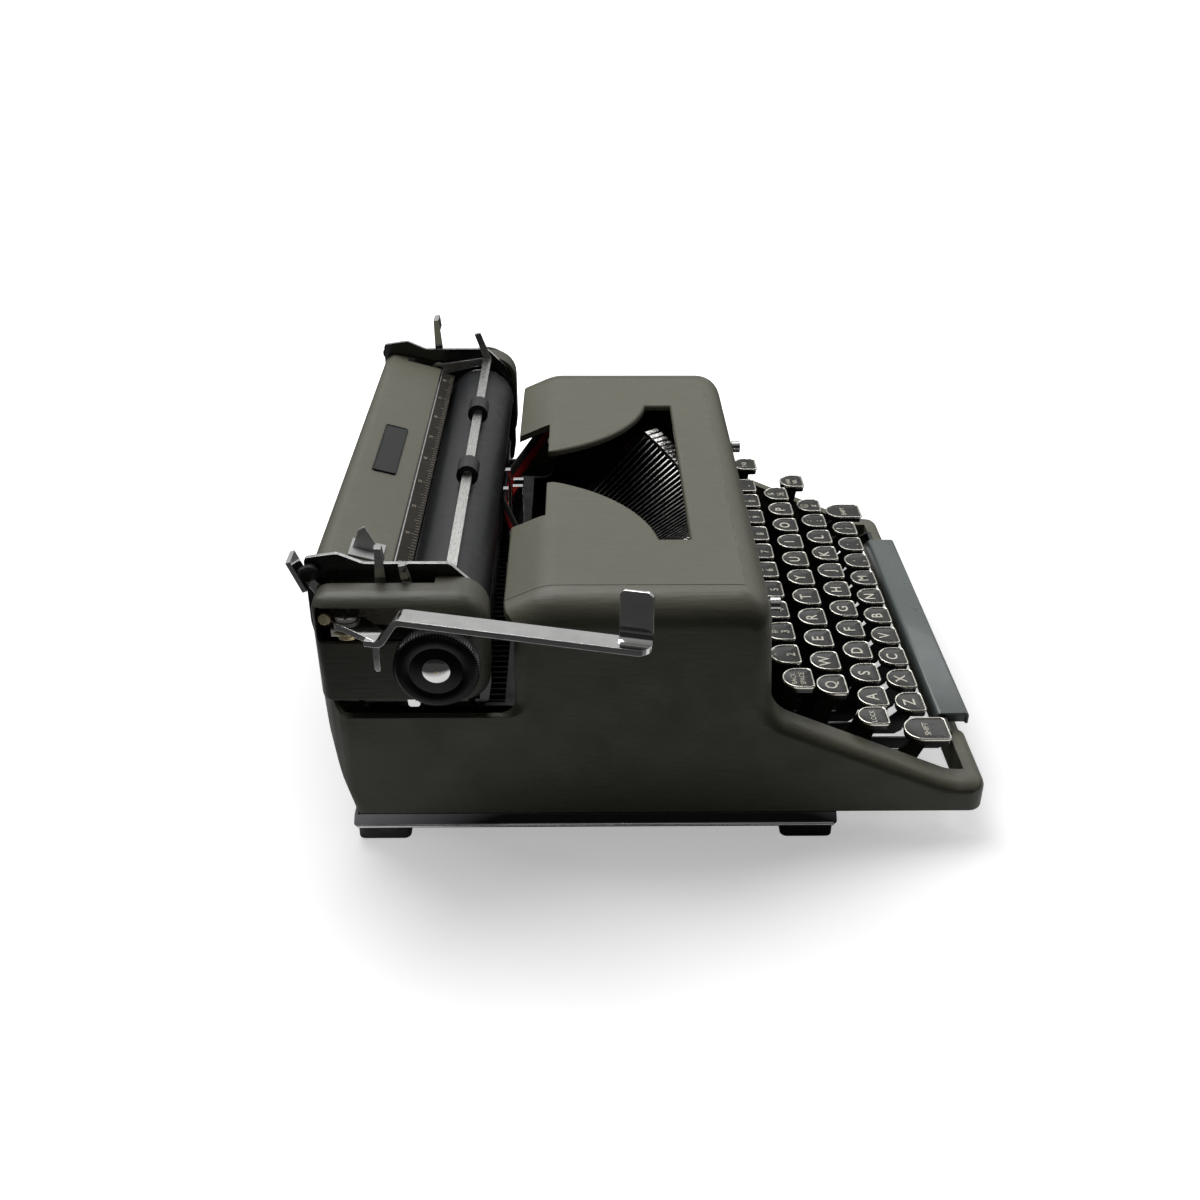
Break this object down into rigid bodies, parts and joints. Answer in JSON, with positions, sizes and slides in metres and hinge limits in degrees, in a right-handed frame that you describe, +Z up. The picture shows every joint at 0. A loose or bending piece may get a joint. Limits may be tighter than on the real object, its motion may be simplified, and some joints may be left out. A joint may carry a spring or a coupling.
{
  "type": "portable manual typewriter",
  "caption": "Portable manual typewriter: sheet-metal body, hinged top cover, keyboard, type basket and a sliding carriage with platen, paper bail and return lever.",
  "frame": {"origin": "on the table plane, on the keyboard's centre line, midway between the front bar's face and the rear rim", "axes": "+X to the typist's right along the platen, +Y to the back, +Z up from the table"},
  "size_m": [0.3382, 0.2924, 0.153],
  "materials": {
    "hood_paint": "semi-gloss enamel with a fine texture",
    "black_enamel": "gloss black enamel",
    "chrome_trim": "polished",
    "steel": "machined",
    "casting": "black japanned",
    "soft_rubber": "satin",
    "key_plastic": "gloss with a metal ring",
    "space_bar_plastic": "gloss",
    "knob_plastic": "gloss",
    "platen_wood": "turned",
    "ribbon_cloth": "inked weave",
    "felt": "felt",
    "bell_brass": "polished"
  },
  "bodies": {
    "base": {"body_shell": "hood_paint", "base_frame": "casting", "side_rails": "chrome_trim", "rubber_feet": "soft_rubber", "lever_shaft": "steel", "lever_comb": "steel", "carriage_rails": "steel", "hinge_pins": "steel", "type_guide": "chrome_trim", "ribbon": "ribbon_cloth", "ribbon_cups": "black_enamel", "bell": "bell_brass"},
    "cover": {"top_cover": "hood_paint"},
    "basket": {"type_segment": "casting", "typebar_rest": "felt", "typebars": "steel"},
    "bar_h": {"typebar_h": "steel"},
    "vibrator": {"ribbon_vibrator": "chrome_trim"},
    "spool_left": {"ribbon_spool_left": "black_enamel"},
    "spool_right": {"ribbon_spool_right": "black_enamel"},
    "h_key": {"key_h": "key_plastic"},
    "row_1": {"keys_row_1": "key_plastic"},
    "row_2": {"keys_row_2": "key_plastic"},
    "row_3": {"keys_row_3": "key_plastic"},
    "row_4": {"keys_row_4": "key_plastic"},
    "space": {"space_bar": "space_bar_plastic"},
    "left_shift": {"shift_left": "key_plastic"},
    "right_shift": {"shift_right": "key_plastic"},
    "lock": {"shift_lock": "key_plastic"},
    "backspace": {"backspace_key": "key_plastic"},
    "tabulator": {"tab_key": "key_plastic"},
    "margin_release": {"margin_release_key": "key_plastic"},
    "selector": {"colour_selector": "chrome_trim"},
    "touch": {"touch_lever": "chrome_trim"},
    "carriage": {"carriage_frame": "black_enamel", "end_cover_left": "hood_paint", "end_cover_right": "hood_paint", "paper_table": "hood_paint", "name_plate": "black_enamel", "paper_scale": "black_enamel", "paper_guide": "chrome_trim", "margin_rack": "steel", "return_lever_screw": "chrome_trim"},
    "stop_left": {"margin_stop_left": "steel"},
    "stop_right": {"margin_stop_right": "steel"},
    "platen": {"platen_rubber": "soft_rubber", "platen_core": "platen_wood", "platen_knob_left": "knob_plastic", "platen_knob_right": "knob_plastic", "platen_ratchet": "steel"},
    "feed_front": {"feed_roller_front": "soft_rubber"},
    "feed_rear": {"feed_roller_rear": "soft_rubber"},
    "bail": {"paper_bail": "chrome_trim"},
    "bail_wheels": {"bail_rollers": "soft_rubber"},
    "lever": {"return_lever": "chrome_trim"},
    "release": {"carriage_release": "chrome_trim"},
    "margin_set": {"margin_set_lever": "chrome_trim"},
    "paper_release": {"paper_release_lever": "chrome_trim"},
    "line_space": {"line_space_selector": "chrome_trim"},
    "drum": {"mainspring_drum": "steel"}
  },
  "joints": [
    {"name": "cover_open", "type": "hinge", "parent": "base", "child": "cover", "pos_m": [0, -0.031, 0.1195], "axis": [1, 0, 0], "range_deg": [0, 95]},
    {"name": "basket_shift", "type": "slide", "parent": "base", "child": "basket", "axis": [0, 0, -1], "range_m": [0, 0.0065], "stiffness_N_per_m": 300, "springref_m": -0.025},
    {"name": "typebar_swing", "type": "hinge", "parent": "basket", "child": "bar_h", "pos_m": [0, 0.02386, 0.06191], "axis": [-1, 0, 0], "range_deg": [0, 97.5], "stiffness_Nm_per_rad": 0.003, "springref_deg": -28.65},
    {"name": "vibrator_lift", "type": "slide", "parent": "base", "child": "vibrator", "axis": [0, 0, 1], "range_m": [0, 0.005], "stiffness_N_per_m": 0.4, "springref_m": 0.1},
    {"name": "spool_left_turn", "type": "hinge", "parent": "base", "child": "spool_left", "pos_m": [-0.093, 0.03, 0.1], "axis": [0, 0, 1], "continuous": true},
    {"name": "spool_right_turn", "type": "hinge", "parent": "base", "child": "spool_right", "pos_m": [0.093, 0.03, 0.1], "axis": [0, 0, 1], "continuous": true},
    {"name": "key_h_press", "type": "hinge", "parent": "base", "child": "h_key", "pos_m": [0, 0.1, 0.028], "axis": [1, 0, 0], "range_deg": [0, 3.5], "stiffness_Nm_per_rad": 0.2, "springref_deg": -17.19},
    {"name": "row_1_press", "type": "hinge", "parent": "base", "child": "row_1", "pos_m": [0, 0.1, 0.028], "axis": [1, 0, 0], "range_deg": [0, 3.5], "stiffness_Nm_per_rad": 2, "springref_deg": -17.19},
    {"name": "row_2_press", "type": "hinge", "parent": "base", "child": "row_2", "pos_m": [0, 0.1, 0.028], "axis": [1, 0, 0], "range_deg": [0, 3.5], "stiffness_Nm_per_rad": 2, "springref_deg": -17.19},
    {"name": "row_3_press", "type": "hinge", "parent": "base", "child": "row_3", "pos_m": [0, 0.1, 0.028], "axis": [1, 0, 0], "range_deg": [0, 3.5], "stiffness_Nm_per_rad": 2, "springref_deg": -17.19},
    {"name": "row_4_press", "type": "hinge", "parent": "base", "child": "row_4", "pos_m": [0, 0.1, 0.028], "axis": [1, 0, 0], "range_deg": [0, 3.5], "stiffness_Nm_per_rad": 2, "springref_deg": -17.19},
    {"name": "space_press", "type": "hinge", "parent": "base", "child": "space", "pos_m": [0, 0.1, 0.028], "axis": [1, 0, 0], "range_deg": [0, 1.6], "stiffness_Nm_per_rad": 1, "springref_deg": -22.92},
    {"name": "shift_left_press", "type": "hinge", "parent": "base", "child": "left_shift", "pos_m": [0, 0.1, 0.028], "axis": [1, 0, 0], "range_deg": [0, 2.05], "stiffness_Nm_per_rad": 0.3, "springref_deg": -17.19},
    {"name": "shift_right_press", "type": "hinge", "parent": "base", "child": "right_shift", "pos_m": [0, 0.1, 0.028], "axis": [1, 0, 0], "range_deg": [0, 2.05], "stiffness_Nm_per_rad": 0.3, "springref_deg": -17.19},
    {"name": "lock_press", "type": "hinge", "parent": "left_shift", "child": "lock", "pos_m": [-0.1086, -0.02, 0.028], "axis": [1, 0, 0], "range_deg": [0, 3], "stiffness_Nm_per_rad": 0.1, "springref_deg": -17.19},
    {"name": "backspace_press", "type": "hinge", "parent": "base", "child": "backspace", "pos_m": [0, 0.1, 0.028], "axis": [1, 0, 0], "range_deg": [0, 3], "stiffness_Nm_per_rad": 0.2, "springref_deg": -17.19},
    {"name": "tab_press", "type": "hinge", "parent": "base", "child": "tabulator", "pos_m": [0, 0.1, 0.028], "axis": [1, 0, 0], "range_deg": [0, 3], "stiffness_Nm_per_rad": 0.2, "springref_deg": -17.19},
    {"name": "margin_release_press", "type": "hinge", "parent": "base", "child": "margin_release", "pos_m": [0, 0.1, 0.028], "axis": [1, 0, 0], "range_deg": [0, 2], "stiffness_Nm_per_rad": 0.2, "springref_deg": -17.19},
    {"name": "colour_select", "type": "hinge", "parent": "base", "child": "selector", "pos_m": [-0.084, -0.036, 0.094], "axis": [1, 0, 0], "range_deg": [-12, 12]},
    {"name": "touch_select", "type": "hinge", "parent": "base", "child": "touch", "pos_m": [0.084, -0.036, 0.094], "axis": [1, 0, 0], "range_deg": [-12, 12]},
    {"name": "carriage_slide", "type": "slide", "parent": "base", "child": "carriage", "axis": [1, 0, 0], "range_m": [-0.1, 0.1]},
    {"name": "platen_turn", "type": "hinge", "parent": "carriage", "child": "platen", "pos_m": [0, 0.0885, 0.1087], "axis": [1, 0, 0], "continuous": true},
    {"name": "feed_front_turn", "type": "hinge", "parent": "carriage", "child": "feed_front", "pos_m": [0, 0.07857, 0.0874], "axis": [1, 0, 0], "continuous": true},
    {"name": "feed_rear_turn", "type": "hinge", "parent": "carriage", "child": "feed_rear", "pos_m": [0, 0.09843, 0.0874], "axis": [1, 0, 0], "continuous": true},
    {"name": "bail_lift", "type": "hinge", "parent": "carriage", "child": "bail", "pos_m": [0, 0.112, 0.1256], "axis": [-1, 0, 0], "range_deg": [0, 55]},
    {"name": "bail_roller_turn", "type": "hinge", "parent": "bail", "child": "bail_wheels", "pos_m": [0, 0.085, 0.131], "axis": [1, 0, 0], "continuous": true},
    {"name": "return_lever_swing", "type": "hinge", "parent": "carriage", "child": "lever", "pos_m": [-0.139, 0.124, 0.12], "axis": [0, 0, 1], "range_deg": [0, 12], "stiffness_Nm_per_rad": 0.4, "springref_deg": -11.46},
    {"name": "margin_left_slide", "type": "slide", "parent": "carriage", "child": "stop_left", "axis": [1, 0, 0], "range_m": [-0.03, 0.05]},
    {"name": "margin_right_slide", "type": "slide", "parent": "carriage", "child": "stop_right", "axis": [1, 0, 0], "range_m": [-0.05, 0.03]},
    {"name": "carriage_release_press", "type": "hinge", "parent": "carriage", "child": "release", "pos_m": [-0.1255, 0.133, 0.122], "axis": [-1, 0, 0], "range_deg": [0, 8], "stiffness_Nm_per_rad": 0.05, "springref_deg": -17.19},
    {"name": "margin_set_tilt", "type": "hinge", "parent": "carriage", "child": "margin_set", "pos_m": [-0.1255, 0.112, 0.112], "axis": [-1, 0, 0], "range_deg": [0, 10], "stiffness_Nm_per_rad": 0.02, "springref_deg": -17.19},
    {"name": "paper_release_pull", "type": "hinge", "parent": "carriage", "child": "paper_release", "pos_m": [0.1255, 0.111, 0.114], "axis": [1, 0, 0], "range_deg": [0, 15]},
    {"name": "line_space_select", "type": "hinge", "parent": "carriage", "child": "line_space", "pos_m": [-0.1255, 0.099, 0.117], "axis": [1, 0, 0], "range_deg": [0, 10]},
    {"name": "drum_turn", "type": "hinge", "parent": "base", "child": "drum", "pos_m": [-0.084, 0.106, 0.045], "axis": [0, 0, 1], "range_deg": [-360, 360]}
  ],
  "couplings": [
    {"joint": "key_h_press", "follows": "typebar_swing", "ratio": 0.035896},
    {"joint": "vibrator_lift", "follows": "typebar_swing", "m_per_rad": 0.0029372},
    {"joint": "shift_left_press", "follows": "basket_shift", "rad_per_m": 5.4},
    {"joint": "shift_right_press", "follows": "basket_shift", "rad_per_m": 5.4},
    {"joint": "spool_right_turn", "follows": "spool_left_turn", "ratio": 1},
    {"joint": "feed_front_turn", "follows": "platen_turn", "ratio": -2.8667},
    {"joint": "feed_rear_turn", "follows": "platen_turn", "ratio": -2.8667},
    {"joint": "bail_roller_turn", "follows": "platen_turn", "ratio": -3.44},
    {"joint": "drum_turn", "follows": "carriage_slide", "rad_per_m": 62.5}
  ]
}
